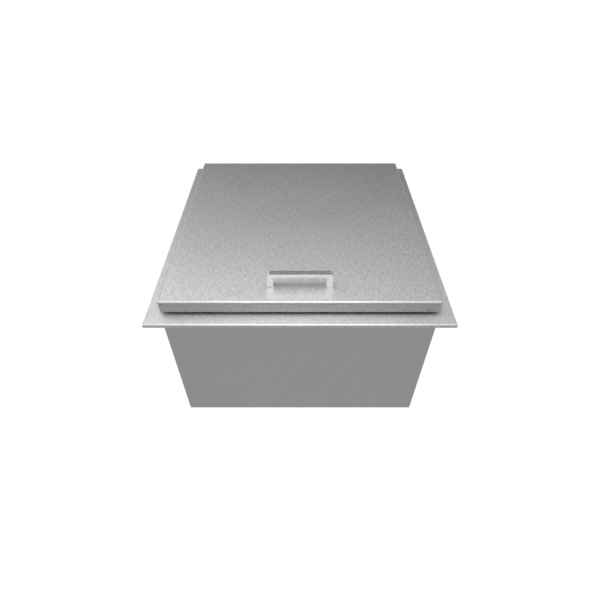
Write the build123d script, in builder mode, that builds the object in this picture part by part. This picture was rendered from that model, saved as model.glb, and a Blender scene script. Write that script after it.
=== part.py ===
from build123d import *
from math import cos, pi
import os

# A drop-in cooler: an insulated tub that hangs by its rim in a counter cut-out, with an
# insulated lid hinged at the back and a drain in the floor.
# Millimetres. X runs to the right, Y to the back and Z up. The origin is the centre of the
# counter plane, on which the underside of the rim rests.

# Rim
rim_width = 508.0
rim_depth = 527.0
rim_lip = 7.0  # height of the folded edge above the counter
rim_sheet = 1.2
rim_bend_inside = 1.6
welded_corner = 1.0  # upright corners of rim and lid, welded and dressed
rim_return = 11.0  # width of the edge that is folded back under the rim
return_bend_inside = 0.6

# Box below the counter
rim_overhang = 23.3  # from the wall of the box to the edge of the rim
hang_height = 277.0  # from the counter plane to the bottom of the box
shell_sheet = 1.0
shell_bend_inside = 1.5
shell_flange = 15.0  # edge turned in at the top and the bottom of the walls
base_sheet = 1.0
base_fit = 0.2  # between the base plate and the walls

# Insulation
side_insulation = 25.0
base_insulation = 30.0
foam_gap = 0.3

# Tub
liner_sheet = 1.0
liner_fit = 0.3  # between the tub and the opening in the rim
tub_corner = 22.0
coaming_rise = 10.0  # above the rim
coaming_width = 14.0
coaming_bend = 1.8
dish_margin = 10.0  # flat floor left between the corner radius and the fall to the drain
dish_fall = 4.0

# Lid
lid_side_margin = 25.0  # rim left bare beside the lid
lid_front_margin = 24.0  # rim left bare in front of the lid
lid_gap = 5.7  # between the rim and the lower edge of the lid
lid_height = 22.4
lid_sheet = 1.2
lid_bend_inside = 1.6
hem_height = 6.0
hem_edge = 1.1
pan_sheet = 0.8
pan_height = 10.0
pan_bend_inside = 0.8
pan_fit = 0.1
gasket_height = 4.0
gasket_width = 8.0
gasket_edge = 1.4

# Handle
handle_pitch = 98.5  # between the two screws
handle_leg = 11.0
handle_depth = 11.5
handle_bar = 6.2
handle_height = 26.5
handle_setback = 36.1  # from the front of the lid to the front of the handle
handle_outer_corner = 5.0
handle_inner_corner = 3.0
handle_edge = 0.4
screw_radius = 2.4
screw_fit = 0.1
screw_reach = 12.0  # into the handle
screw_head_radius = 4.6
screw_head_height = 3.2
screw_socket_radius = 1.7
screw_socket_depth = 1.8
washer_radius = 7.0
washer_sheet = 1.0
washer_fit = 0.35
pocket_gap = 1.0

# Hinge
hinge_inset = 9.0  # from the side of the lid to the end of the hinge
hinge_sheet = 1.5
leaf_width = 19.5  # from the pin to the edge of the leaf
leaf_corner = 3.0
pin_radius = 2.0
pin_fit = 0.05
pin_chamfer = 0.4
knuckle_wall = 1.45
knuckle_gap = 0.5  # between neighbouring knuckles
knuckle_target = 16.0
knuckle_clearance = 0.5  # between a knuckle and the notch in the other leaf
hinge_standoff = 0.3  # between a knuckle and the sheet behind it
hinge_rear_margin = 4.7  # rim left bare behind the hinge
rivet_line = 15.0  # from the pin
rivet_spacing = 60.0
rivet_end = 10.0
rivet_radius = 2.0
rivet_fit = 0.05
rivet_head_radius = 3.6
rivet_head_height = 1.2
rivet_tail_radius = 2.8
rivet_tail_height = 1.8
tail_gap = 1.0

# Seal between rim and counter
counter_gasket_width = 9.0
counter_gasket_gap = 0.5

# Drain
barrel_radius = 16.6
barrel_wall = 2.6
barrel_end = 6.0  # thread left below the locknut
thread_pitch = 2.3
thread_depth = 1.0
tail_radius = 12.7
tail_length = 26.0
tail_chamfer = 0.8
bore_radius = 10.0
flange_radius = 29.0
flange_sheet = 2.0
flange_edge = 0.8
flange_play = 1.5  # around the flange in its recess
seal_sheet = 1.5
barrel_play = 0.5  # around the barrel in the holes that it passes
seat_taper = 1.2
seat_depth = 12.0
strainer_sheet = 1.5
strainer_fit = 0.1
strainer_hole_radius = 1.3
strainer_inner_radius = 4.2
strainer_inner_holes = 6
strainer_outer_radius = 8.0
strainer_outer_holes = 12
drain_washer_sheet = 3.0
drain_washer_radius = 24.0
locknut_height = 8.0
locknut_sides = 6
locknut_flat_width = 46.0
locknut_chamfer = 1.2
locknut_fit = 0.15
stopper_gap = 0.3
stopper_disc_radius = 20.0
stopper_disc = 3.0
stopper_disc_edge = 1.0
stopper_plug = 10.0
stopper_neck_radius = 4.5
stopper_neck = 5.0
stopper_knob_radius = 8.0
stopper_knob = 7.0
stopper_knob_edge = 2.4

# Levels
rim_top = rim_lip
rim_under = rim_lip - rim_sheet
box_bottom = -hang_height
base_under = box_bottom + shell_sheet
base_top = base_under + base_sheet
floor_under = base_top + base_insulation
floor_top = floor_under + liner_sheet
coaming_top = rim_top + coaming_rise
pan_under = coaming_top + gasket_height
skirt_bottom = rim_top + lid_gap
lid_top = skirt_bottom + lid_height
lid_under = lid_top - lid_sheet
dish_bottom = floor_top - dish_fall
flange_top = dish_bottom
seal_top = flange_top - flange_sheet
seat_floor = seal_top - seal_sheet

# Widths and depths, from the rim inwards
box_width = rim_width - 2 * rim_overhang
box_depth = rim_depth - 2 * rim_overhang
shell_inside_width = box_width - 2 * shell_sheet
shell_inside_depth = box_depth - 2 * shell_sheet
liner_width = shell_inside_width - 2 * side_insulation
liner_depth = shell_inside_depth - 2 * side_insulation
tub_width = liner_width - 2 * liner_sheet
tub_depth = liner_depth - 2 * liner_sheet
coaming_outer_width = tub_width + 2 * coaming_width
coaming_outer_depth = tub_depth + 2 * coaming_width
coaming_outer_corner = tub_corner + coaming_width

# Hinge places: the pin runs along X behind the lid
knuckle_radius = pin_radius + pin_fit + knuckle_wall
leaf_back = knuckle_radius + hinge_standoff
pivot_y = rim_depth / 2 - hinge_rear_margin - leaf_width
pivot_z = rim_top + leaf_back

# Lid places
lid_width = rim_width - 2 * lid_side_margin
lid_front = -rim_depth / 2 + lid_front_margin
lid_rear = pivot_y - leaf_back
lid_depth = lid_rear - lid_front
lid_middle = (lid_front + lid_rear) / 2
handle_front = lid_front + handle_setback
handle_middle = handle_front + handle_depth / 2

# Knuckles and rivets of the hinge
hinge_length = lid_width - 2 * hinge_inset
knuckle_count = 2 * int(hinge_length / knuckle_target / 2) + 1
knuckle_pitch = hinge_length / knuckle_count
knuckle_places = [(i + 0.5) * knuckle_pitch - hinge_length / 2 for i in range(knuckle_count)]
notch = knuckle_radius + knuckle_clearance
rim_rivet_count = int((hinge_length - 2 * rivet_end) / rivet_spacing) + 1
lid_rivet_count = rim_rivet_count - 1
rim_grip = hinge_sheet + rim_sheet
lid_grip = hinge_sheet + lid_sheet + pan_fit + pan_sheet
rim_rivets = Plane((0, pivot_y + rivet_line, rim_top + hinge_sheet))
lid_rivets = Plane(
    (0, lid_rear + hinge_sheet, pivot_z + rivet_line), x_dir=(1, 0, 0), z_dir=(0, 1, 0)
)

# Drain places
throat_radius = barrel_radius - barrel_wall
seat_radius = throat_radius + seat_taper
seat_bottom = flange_top - seat_depth
strainer_under = seat_bottom - strainer_sheet
nut_top = base_under - drain_washer_sheet
nut_bottom = nut_top - locknut_height
thread_bottom = nut_bottom - barrel_end
tail_bottom = thread_bottom - tail_length
recess_radius = flange_radius + flange_play
dish_radius = min(tub_width, tub_depth) / 2 - tub_corner - dish_margin

os.makedirs("parts", exist_ok=True)


# Space inside the folded edge of the rim
with BuildPart() as rim_hollow:
    with BuildSketch(Plane.XY.offset(rim_sheet)):
        Rectangle(rim_width - 2 * rim_sheet, rim_depth - 2 * rim_sheet)
    extrude(amount=rim_lip - 2 * rim_sheet)
    fillet(rim_hollow.edges().group_by(Axis.Z)[-1], rim_bend_inside)
    fillet(rim_hollow.edges().group_by(Axis.Z)[0], return_bend_inside)

# Rim: top sheet with an opening for the tub, edges folded down and back in
with BuildPart() as rim_frame:
    with BuildSketch(Plane.XY):
        Rectangle(rim_width, rim_depth)
    extrude(amount=rim_lip)
    fillet(rim_frame.edges().filter_by(Axis.Z), welded_corner)
    fillet(rim_frame.edges().group_by(Axis.Z)[-1], rim_bend_inside + rim_sheet)
    fillet(rim_frame.edges().group_by(Axis.Z)[0], return_bend_inside + rim_sheet)
    add(rim_hollow.part, mode=Mode.SUBTRACT)
    with BuildSketch(Plane.XY):
        Rectangle(rim_width - 2 * rim_return, rim_depth - 2 * rim_return)
    extrude(amount=rim_under, mode=Mode.SUBTRACT)
    with BuildSketch(Plane.XY.offset(rim_under)):
        RectangleRounded(
            liner_width + 2 * liner_fit,
            liner_depth + 2 * liner_fit,
            tub_corner + liner_sheet + liner_fit,
        )
    extrude(amount=rim_sheet, mode=Mode.SUBTRACT)
    with Locations((0, pivot_y + rivet_line, rim_top)):
        with GridLocations(rivet_spacing, 0, rim_rivet_count, 1):
            Hole(rivet_radius + rivet_fit, depth=rim_sheet)
rim_frame.part.label = "rim_frame"
export_step(rim_frame.part, "parts/rim_frame.step")

# Foam strip between the box and the folded-back edge, flush with the bearing face
with BuildPart() as counter_gasket:
    with BuildSketch(Plane.XY):
        Rectangle(
            box_width + 2 * (counter_gasket_gap + counter_gasket_width),
            box_depth + 2 * (counter_gasket_gap + counter_gasket_width),
        )
        Rectangle(
            box_width + 2 * counter_gasket_gap,
            box_depth + 2 * counter_gasket_gap,
            mode=Mode.SUBTRACT,
        )
    extrude(amount=rim_under)
counter_gasket.part.label = "counter_gasket"
export_step(counter_gasket.part, "parts/counter_gasket.step")

# Space inside the folded walls of the box
with BuildPart() as shell_hollow:
    with BuildSketch(Plane.XY.offset(box_bottom + shell_sheet)):
        Rectangle(shell_inside_width, shell_inside_depth)
    extrude(amount=rim_under - box_bottom - 2 * shell_sheet)
    fillet(
        shell_hollow.edges().filter_by(Axis.Z) + shell_hollow.edges().group_by(Axis.Z)[0],
        shell_bend_inside,
    )

# Box: four walls with an edge turned in at the top and the bottom
with BuildPart() as outer_shell:
    with BuildSketch(Plane.XY.offset(box_bottom)):
        Rectangle(box_width, box_depth)
    extrude(amount=rim_under - box_bottom)
    fillet(
        outer_shell.edges().filter_by(Axis.Z) + outer_shell.edges().group_by(Axis.Z)[0],
        shell_bend_inside + shell_sheet,
    )
    add(shell_hollow.part, mode=Mode.SUBTRACT)
    with BuildSketch(Plane.XY.offset(box_bottom)):
        Rectangle(box_width - 2 * shell_flange, box_depth - 2 * shell_flange)
    extrude(amount=rim_under - box_bottom, mode=Mode.SUBTRACT)
outer_shell.part.label = "outer_shell"
export_step(outer_shell.part, "parts/outer_shell.step")

# Base plate, laid on the turned-in bottom edge of the walls
with BuildPart() as base_plate:
    with BuildSketch(Plane.XY.offset(base_under)):
        Rectangle(
            shell_inside_width - 2 * (base_fit + shell_bend_inside),
            shell_inside_depth - 2 * (base_fit + shell_bend_inside),
        )
        Circle(barrel_radius + barrel_play, mode=Mode.SUBTRACT)
    extrude(amount=base_sheet)
base_plate.part.label = "base_plate"
export_step(base_plate.part, "parts/base_plate.step")

# Space inside the tub, with the fall to the drain and the recess for its flange
with BuildPart() as tub_hollow:
    with BuildSketch(Plane.XY.offset(floor_top)):
        Rectangle(tub_width, tub_depth)
    extrude(amount=coaming_top - floor_top)
    fillet(
        tub_hollow.edges().filter_by(Axis.Z) + tub_hollow.edges().group_by(Axis.Z)[0],
        tub_corner,
    )
    with BuildSketch(Plane.XZ):
        with BuildLine():
            Polyline(
                (0, floor_top),
                (dish_radius, floor_top),
                (recess_radius, dish_bottom),
                (recess_radius, seat_floor),
                (0, seat_floor),
                close=True,
            )
        make_face()
    revolve(axis=Axis.Z)

# Liner: the tub, its coaming and the raised edge folded down onto the rim
with BuildPart() as inner_liner:
    with BuildSketch(Plane.XY.offset(floor_under)):
        Rectangle(liner_width, liner_depth)
    extrude(amount=coaming_top - floor_under)
    fillet(
        inner_liner.edges().filter_by(Axis.Z) + inner_liner.edges().group_by(Axis.Z)[0],
        tub_corner + liner_sheet,
    )
    with BuildSketch(Plane.XZ):
        with BuildLine():
            Polyline(
                (0, floor_top),
                (dish_radius, floor_top),
                (dish_radius, floor_under),
                (recess_radius + liner_sheet, dish_bottom - liner_sheet),
                (recess_radius + liner_sheet, seat_floor - liner_sheet),
                (0, seat_floor - liner_sheet),
                close=True,
            )
        make_face()
    revolve(axis=Axis.Z)
    with BuildSketch(Plane.XY.offset(rim_top)):
        RectangleRounded(coaming_outer_width, coaming_outer_depth, coaming_outer_corner)
    extrude(amount=coaming_rise)
    fillet(inner_liner.faces().sort_by(Axis.Z)[-1].outer_wire().edges(), coaming_bend)
    with BuildSketch(Plane.XY.offset(rim_top)):
        RectangleRounded(
            coaming_outer_width - 2 * liner_sheet,
            coaming_outer_depth - 2 * liner_sheet,
            coaming_outer_corner - liner_sheet,
        )
        RectangleRounded(
            liner_width, liner_depth, tub_corner + liner_sheet, mode=Mode.SUBTRACT
        )
    extrude(amount=coaming_rise - liner_sheet, mode=Mode.SUBTRACT)
    add(tub_hollow.part, mode=Mode.SUBTRACT)
    fillet(inner_liner.faces().sort_by(Axis.Z)[-1].inner_wires().edges(), coaming_bend)
    with Locations((0, 0, seat_floor)):
        Hole(barrel_radius + barrel_play, depth=liner_sheet)
inner_liner.part.label = "inner_liner"
export_step(inner_liner.part, "parts/inner_liner.step")

# Foam slab under the tub, hollowed for the fall of the floor and the drain
base_foam_top = floor_under - foam_gap
with BuildPart() as insulation_base:
    with BuildSketch(Plane.XY.offset(base_top + foam_gap)):
        Rectangle(
            shell_inside_width - 2 * (foam_gap + shell_bend_inside),
            shell_inside_depth - 2 * (foam_gap + shell_bend_inside),
        )
    extrude(amount=base_foam_top - base_top - foam_gap)
    with BuildSketch(Plane.XZ):
        with BuildLine():
            Polyline(
                (0, base_foam_top),
                (dish_radius + foam_gap, base_foam_top),
                (recess_radius + liner_sheet + foam_gap, dish_bottom - liner_sheet - foam_gap),
                (recess_radius + liner_sheet + foam_gap, seat_floor - liner_sheet - foam_gap),
                (0, seat_floor - liner_sheet - foam_gap),
                close=True,
            )
        make_face()
    revolve(axis=Axis.Z, mode=Mode.SUBTRACT)
    with Locations((0, 0, base_foam_top)):
        Hole(barrel_radius + barrel_play, depth=base_insulation)
insulation_base.part.label = "insulation_base"
export_step(insulation_base.part, "parts/insulation_base.step")

# Foam slabs in the walls, standing on the base slab
wall_foam = side_insulation - 2 * foam_gap
wall_foam_bottom = floor_under
wall_foam_height = rim_under - shell_sheet - foam_gap - wall_foam_bottom
wall_foam_x = liner_width / 2 + side_insulation / 2
wall_foam_y = liner_depth / 2 + side_insulation / 2
side_foam_depth = shell_inside_depth - 2 * (foam_gap + shell_bend_inside)
cross_foam_width = liner_width - 2 * foam_gap

with BuildPart() as insulation_front:
    with BuildSketch(Plane((0, -wall_foam_y, wall_foam_bottom))):
        Rectangle(cross_foam_width, wall_foam)
    extrude(amount=wall_foam_height)
insulation_front.part.label = "insulation_front"
export_step(insulation_front.part, "parts/insulation_front.step")

with BuildPart() as insulation_rear:
    with BuildSketch(Plane((0, wall_foam_y, wall_foam_bottom))):
        Rectangle(cross_foam_width, wall_foam)
    extrude(amount=wall_foam_height)
insulation_rear.part.label = "insulation_rear"
export_step(insulation_rear.part, "parts/insulation_rear.step")

with BuildPart() as insulation_left:
    with BuildSketch(Plane((-wall_foam_x, 0, wall_foam_bottom))):
        Rectangle(wall_foam, side_foam_depth)
    extrude(amount=wall_foam_height)
insulation_left.part.label = "insulation_left"
export_step(insulation_left.part, "parts/insulation_left.step")

with BuildPart() as insulation_right:
    with BuildSketch(Plane((wall_foam_x, 0, wall_foam_bottom))):
        Rectangle(wall_foam, side_foam_depth)
    extrude(amount=wall_foam_height)
insulation_right.part.label = "insulation_right"
export_step(insulation_right.part, "parts/insulation_right.step")

# Space inside the lid's skin, narrower where the lower edge is hemmed
with BuildPart() as lid_hollow:
    with BuildSketch(Plane((0, lid_middle, skirt_bottom + hem_height))):
        Rectangle(lid_width - 2 * lid_sheet, lid_depth - 2 * lid_sheet)
    extrude(amount=lid_height - hem_height - lid_sheet)
    fillet(lid_hollow.edges().group_by(Axis.Z)[-1], lid_bend_inside)
    with BuildSketch(Plane((0, lid_middle, skirt_bottom))):
        Rectangle(lid_width - 4 * lid_sheet, lid_depth - 4 * lid_sheet)
    extrude(amount=hem_height)

# Lid skin: top sheet, four skirts and a hem
with BuildPart() as lid_outer:
    with BuildSketch(Plane((0, lid_middle, skirt_bottom))):
        Rectangle(lid_width, lid_depth)
    extrude(amount=lid_height)
    fillet(lid_outer.edges().filter_by(Axis.Z), welded_corner)
    fillet(lid_outer.edges().group_by(Axis.Z)[-1], lid_bend_inside + lid_sheet)
    add(lid_hollow.part, mode=Mode.SUBTRACT)
    fillet(lid_outer.edges().group_by(Axis.Z)[0], hem_edge)
    with Locations((0, handle_middle, lid_top)):
        with GridLocations(handle_pitch, 0, 2, 1):
            Hole(screw_radius + washer_fit, depth=lid_sheet)
    with Locations(lid_rivets):
        with GridLocations(rivet_spacing, 0, lid_rivet_count, 1):
            Hole(rivet_radius + rivet_fit, depth=hinge_sheet + lid_sheet + pan_fit)
lid_outer.part.label = "lid_outer"
export_step(lid_outer.part, "parts/lid_outer.step")

# Inner pan of the lid, open upwards
pan_width = lid_width - 2 * (lid_sheet + pan_fit)
pan_depth = lid_depth - 2 * (lid_sheet + pan_fit)
with BuildPart() as pan_hollow:
    with BuildSketch(Plane((0, lid_middle, pan_under + pan_sheet))):
        Rectangle(pan_width - 2 * pan_sheet, pan_depth - 2 * pan_sheet)
    extrude(amount=pan_height - pan_sheet)
    fillet(
        pan_hollow.edges().filter_by(Axis.Z) + pan_hollow.edges().group_by(Axis.Z)[0],
        pan_bend_inside,
    )

with BuildPart() as lid_pan:
    with BuildSketch(Plane((0, lid_middle, pan_under))):
        Rectangle(pan_width, pan_depth)
    extrude(amount=pan_height)
    fillet(
        lid_pan.edges().filter_by(Axis.Z) + lid_pan.edges().group_by(Axis.Z)[0],
        pan_bend_inside + pan_sheet,
    )
    add(pan_hollow.part, mode=Mode.SUBTRACT)
    with Locations(lid_rivets):
        with GridLocations(rivet_spacing, 0, lid_rivet_count, 1):
            Hole(rivet_radius + rivet_fit, depth=lid_grip)
lid_pan.part.label = "lid_pan"
export_step(lid_pan.part, "parts/lid_pan.step")

# Foam in the lid, with pockets for the screw heads and a groove for the rivet tails
lid_foam_bottom = pan_under + pan_sheet + foam_gap
lid_foam_top = lid_under - foam_gap
lid_foam_rear = lid_rear - lid_sheet - pan_fit - pan_sheet - foam_gap
head_bottom = lid_under - washer_sheet - screw_head_height
with BuildPart() as lid_insulation:
    with BuildSketch(Plane((0, lid_middle, lid_foam_bottom))):
        Rectangle(
            pan_width - 2 * (pan_sheet + foam_gap), pan_depth - 2 * (pan_sheet + foam_gap)
        )
    extrude(amount=lid_foam_top - lid_foam_bottom)
    with Locations((0, handle_middle, lid_foam_top)):
        with GridLocations(handle_pitch, 0, 2, 1):
            Hole(washer_radius + pocket_gap, depth=lid_foam_top - head_bottom + pocket_gap)
    with BuildSketch(Plane.YZ):
        with Locations((lid_foam_rear, pivot_z + rivet_line)):
            Rectangle(
                2 * (rivet_tail_height + tail_gap), 2 * (rivet_tail_radius + tail_gap)
            )
    extrude(amount=hinge_length / 2, both=True, mode=Mode.SUBTRACT)
lid_insulation.part.label = "lid_insulation"
export_step(lid_insulation.part, "parts/lid_insulation.step")

# Lid gasket, stuck under the pan and resting on the coaming
gasket_line_width = tub_width + coaming_width
gasket_line_depth = tub_depth + coaming_width
gasket_line_corner = tub_corner + coaming_width / 2
with BuildPart() as lid_gasket:
    with BuildSketch(Plane.XY.offset(coaming_top)):
        RectangleRounded(
            gasket_line_width + gasket_width,
            gasket_line_depth + gasket_width,
            gasket_line_corner + gasket_width / 2,
        )
        RectangleRounded(
            gasket_line_width - gasket_width,
            gasket_line_depth - gasket_width,
            gasket_line_corner - gasket_width / 2,
            mode=Mode.SUBTRACT,
        )
    extrude(amount=gasket_height)
    fillet(lid_gasket.edges().group_by(Axis.Z)[0], gasket_edge)
lid_gasket.part.label = "lid_gasket"
export_step(lid_gasket.part, "parts/lid_gasket.step")

# Bar pull, standing on the lid
handle_width = handle_pitch + handle_leg
with BuildPart() as handle:
    with BuildSketch(Plane.XZ.offset(-handle_front)):
        with Locations((0, lid_top + handle_height / 2)):
            pull = Rectangle(handle_width, handle_height)
        fillet(pull.vertices().group_by(Axis.Y)[-1], handle_outer_corner)
        with BuildSketch(mode=Mode.PRIVATE) as finger_space:
            with Locations((0, lid_top + (handle_height - handle_bar) / 2)):
                Rectangle(handle_width - 2 * handle_leg, handle_height - handle_bar)
            fillet(finger_space.vertices().group_by(Axis.Y)[-1], handle_inner_corner)
        add(finger_space.sketch, mode=Mode.SUBTRACT)
    extrude(amount=-handle_depth)
    fillet(handle.faces().filter_by(Axis.Y).edges(), handle_edge)
    with Locations(Plane((0, handle_middle, lid_top), z_dir=(0, 0, -1))):
        with GridLocations(handle_pitch, 0, 2, 1):
            Hole(screw_radius + screw_fit, depth=screw_reach + pocket_gap)
handle.part.label = "handle"
export_step(handle.part, "parts/handle.step")

# Handle screws, put in from inside the lid
with BuildPart() as handle_screws:
    with Locations((0, handle_middle, 0)):
        with GridLocations(handle_pitch, 0, 2, 1):
            with Locations((0, 0, head_bottom)):
                Cylinder(
                    screw_head_radius,
                    screw_head_height,
                    align=(Align.CENTER, Align.CENTER, Align.MIN),
                )
                Cylinder(
                    screw_radius,
                    lid_top + screw_reach - head_bottom,
                    align=(Align.CENTER, Align.CENTER, Align.MIN),
                )
                Cylinder(
                    screw_socket_radius,
                    screw_socket_depth,
                    align=(Align.CENTER, Align.CENTER, Align.MIN),
                    mode=Mode.SUBTRACT,
                )
handle_screws.part.label = "handle_screws"
export_step(handle_screws.part, "parts/handle_screws.step")

# Washers under the screw heads
with BuildPart() as handle_washers:
    with BuildSketch(Plane((0, handle_middle, lid_under - washer_sheet))):
        with GridLocations(handle_pitch, 0, 2, 1):
            Circle(washer_radius)
            Circle(screw_radius + washer_fit, mode=Mode.SUBTRACT)
    extrude(amount=washer_sheet)
handle_washers.part.label = "handle_washers"
export_step(handle_washers.part, "parts/handle_washers.step")

# Section of a leaf at one of its knuckles: the pin is at the origin, the leaf runs along +X
with BuildSketch() as knuckle_section:
    Circle(knuckle_radius)
    with Locations((notch / 2, -leaf_back + hinge_sheet / 2)):
        Rectangle(notch, hinge_sheet)
    Circle(pin_radius + pin_fit, mode=Mode.SUBTRACT)

# Fixed leaf, lying on the rim behind the pin
with BuildPart() as hinge_leaf_rim:
    with BuildSketch(Plane((0, pivot_y + (notch + leaf_width) / 2, rim_top))):
        plate = Rectangle(hinge_length, leaf_width - notch)
        fillet(plate.vertices().group_by(Axis.Y)[-1], leaf_corner)
    extrude(amount=hinge_sheet)
    for x in knuckle_places[0::2]:
        with BuildSketch(Plane((x, pivot_y, pivot_z), x_dir=(0, 1, 0), z_dir=(1, 0, 0))):
            add(knuckle_section.sketch)
        extrude(amount=(knuckle_pitch - knuckle_gap) / 2, both=True)
    with Locations(rim_rivets):
        with GridLocations(rivet_spacing, 0, rim_rivet_count, 1):
            Hole(rivet_radius + rivet_fit, depth=hinge_sheet)
hinge_leaf_rim.part.label = "hinge_leaf_rim"
export_step(hinge_leaf_rim.part, "parts/hinge_leaf_rim.step")

# Moving leaf, standing against the lid's rear skirt above the pin
with BuildPart() as hinge_leaf_lid:
    with BuildSketch(
        Plane(
            (0, lid_rear, pivot_z + (notch + leaf_width) / 2), x_dir=(-1, 0, 0), z_dir=(0, 1, 0)
        )
    ):
        plate = Rectangle(hinge_length, leaf_width - notch)
        fillet(plate.vertices().group_by(Axis.Y)[-1], leaf_corner)
    extrude(amount=hinge_sheet)
    for x in knuckle_places[1::2]:
        with BuildSketch(Plane((x, pivot_y, pivot_z), x_dir=(0, 0, 1), z_dir=(-1, 0, 0))):
            add(knuckle_section.sketch)
        extrude(amount=(knuckle_pitch - knuckle_gap) / 2, both=True)
    with Locations(lid_rivets):
        with GridLocations(rivet_spacing, 0, lid_rivet_count, 1):
            Hole(rivet_radius + rivet_fit, depth=hinge_sheet)
hinge_leaf_lid.part.label = "hinge_leaf_lid"
export_step(hinge_leaf_lid.part, "parts/hinge_leaf_lid.step")

# Hinge pin
with BuildPart() as hinge_pin:
    with BuildSketch(Plane((0, pivot_y, pivot_z), x_dir=(0, 1, 0), z_dir=(1, 0, 0))):
        Circle(pin_radius)
    extrude(amount=hinge_length / 2, both=True)
    chamfer(hinge_pin.edges(), pin_chamfer)
hinge_pin.part.label = "hinge_pin"
export_step(hinge_pin.part, "parts/hinge_pin.step")


def domed_rivet(grip):
    """A rivet whose head sits on Z = 0, with its shank and formed tail below."""
    with BuildPart() as rivet:
        with BuildSketch(Plane.XZ):
            with BuildLine():
                TangentArc((0, rivet_head_height), (rivet_head_radius, 0), tangent=(1, 0))
                Polyline(
                    (rivet_head_radius, 0),
                    (rivet_radius, 0),
                    (rivet_radius, -grip),
                    (rivet_tail_radius, -grip),
                    (rivet_tail_radius, -grip - rivet_tail_height),
                    (0, -grip - rivet_tail_height),
                    (0, rivet_head_height),
                )
            make_face()
        revolve(axis=Axis.Z)
    return rivet.part


# Rivets through the fixed leaf and the rim
with BuildPart() as hinge_rivets_rim:
    with Locations(rim_rivets):
        with GridLocations(rivet_spacing, 0, rim_rivet_count, 1):
            add(domed_rivet(rim_grip))
hinge_rivets_rim.part.label = "hinge_rivets_rim"
export_step(hinge_rivets_rim.part, "parts/hinge_rivets_rim.step")

# Rivets through the moving leaf, the skirt and the pan
with BuildPart() as hinge_rivets_lid:
    with Locations(lid_rivets):
        with GridLocations(rivet_spacing, 0, lid_rivet_count, 1):
            add(domed_rivet(lid_grip))
hinge_rivets_lid.part.label = "hinge_rivets_lid"
export_step(hinge_rivets_lid.part, "parts/hinge_rivets_lid.step")

# Drain: flange in the recess of the floor, threaded barrel and a plain tail for a hose
thread_grooves = int((barrel_end - thread_depth) / thread_pitch)
with BuildPart() as drain_body:
    with BuildSketch(Plane.XZ):
        with BuildLine():
            Polyline(
                (seat_radius, flange_top),
                (flange_radius, flange_top),
                (flange_radius, seal_top),
                (barrel_radius, seal_top),
                (barrel_radius, thread_bottom),
                (tail_radius, thread_bottom),
                (tail_radius, tail_bottom),
                (bore_radius, tail_bottom),
                (bore_radius, strainer_under),
                (throat_radius, strainer_under),
                (throat_radius, seat_bottom),
                close=True,
            )
        make_face()
    revolve(axis=Axis.Z)
    circles = drain_body.edges().filter_by(GeomType.CIRCLE)
    fillet(circles.group_by(SortBy.RADIUS)[-1].sort_by(Axis.Z)[-1], flange_edge)
    circles = drain_body.edges().filter_by(GeomType.CIRCLE)
    chamfer(circles.group_by(Axis.Z)[0].sort_by(SortBy.RADIUS)[-1], tail_chamfer)
    for turn in range(thread_grooves):
        groove_level = thread_bottom + (turn + 0.5) * thread_pitch + thread_depth
        with BuildSketch(Plane.XZ):
            with BuildLine():
                Polyline(
                    (barrel_radius + thread_depth, groove_level + thread_depth),
                    (barrel_radius - thread_depth, groove_level),
                    (barrel_radius + thread_depth, groove_level - thread_depth),
                    close=True,
                )
            make_face()
        revolve(axis=Axis.Z, mode=Mode.SUBTRACT)
drain_body.part.label = "drain_body"
export_step(drain_body.part, "parts/drain_body.step")

# Rubber ring under the flange
with BuildPart() as drain_seal:
    with BuildSketch(Plane.XY.offset(seat_floor)):
        Circle(flange_radius)
        Circle(barrel_radius + barrel_play, mode=Mode.SUBTRACT)
    extrude(amount=seal_sheet)
drain_seal.part.label = "drain_seal"
export_step(drain_seal.part, "parts/drain_seal.step")

# Rubber ring between the base plate and the locknut
with BuildPart() as drain_washer:
    with BuildSketch(Plane.XY.offset(nut_top)):
        Circle(drain_washer_radius)
        Circle(barrel_radius + barrel_play, mode=Mode.SUBTRACT)
    extrude(amount=drain_washer_sheet)
drain_washer.part.label = "drain_washer"
export_step(drain_washer.part, "parts/drain_washer.step")

# Round blank that turns the corners of the locknut off at both faces
nut_corner = locknut_flat_width / 2 / cos(pi / locknut_sides)
with BuildPart() as nut_blank:
    with BuildSketch(Plane.XZ):
        with BuildLine():
            Polyline(
                (0, nut_bottom),
                (locknut_flat_width / 2, nut_bottom),
                (nut_corner, nut_bottom + locknut_chamfer),
                (nut_corner, nut_top - locknut_chamfer),
                (locknut_flat_width / 2, nut_top),
                (0, nut_top),
                close=True,
            )
        make_face()
    revolve(axis=Axis.Z)

# Locknut
with BuildPart() as drain_locknut:
    with BuildSketch(Plane.XY.offset(nut_bottom)):
        RegularPolygon(locknut_flat_width / 2, locknut_sides, major_radius=False)
    extrude(amount=locknut_height)
    add(nut_blank.part, mode=Mode.INTERSECT)
    with Locations((0, 0, nut_top)):
        Hole(barrel_radius + locknut_fit, depth=locknut_height)
drain_locknut.part.label = "drain_locknut"
export_step(drain_locknut.part, "parts/drain_locknut.step")

# Strainer disc on the ledge of the throat
with BuildPart() as drain_strainer:
    with BuildSketch(Plane.XY.offset(strainer_under)):
        Circle(throat_radius - strainer_fit)
        Circle(strainer_hole_radius, mode=Mode.SUBTRACT)
        with PolarLocations(strainer_inner_radius, strainer_inner_holes):
            Circle(strainer_hole_radius, mode=Mode.SUBTRACT)
        with PolarLocations(strainer_outer_radius, strainer_outer_holes):
            Circle(strainer_hole_radius, mode=Mode.SUBTRACT)
    extrude(amount=strainer_sheet)
drain_strainer.part.label = "drain_strainer"
export_step(drain_strainer.part, "parts/drain_strainer.step")

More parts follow.
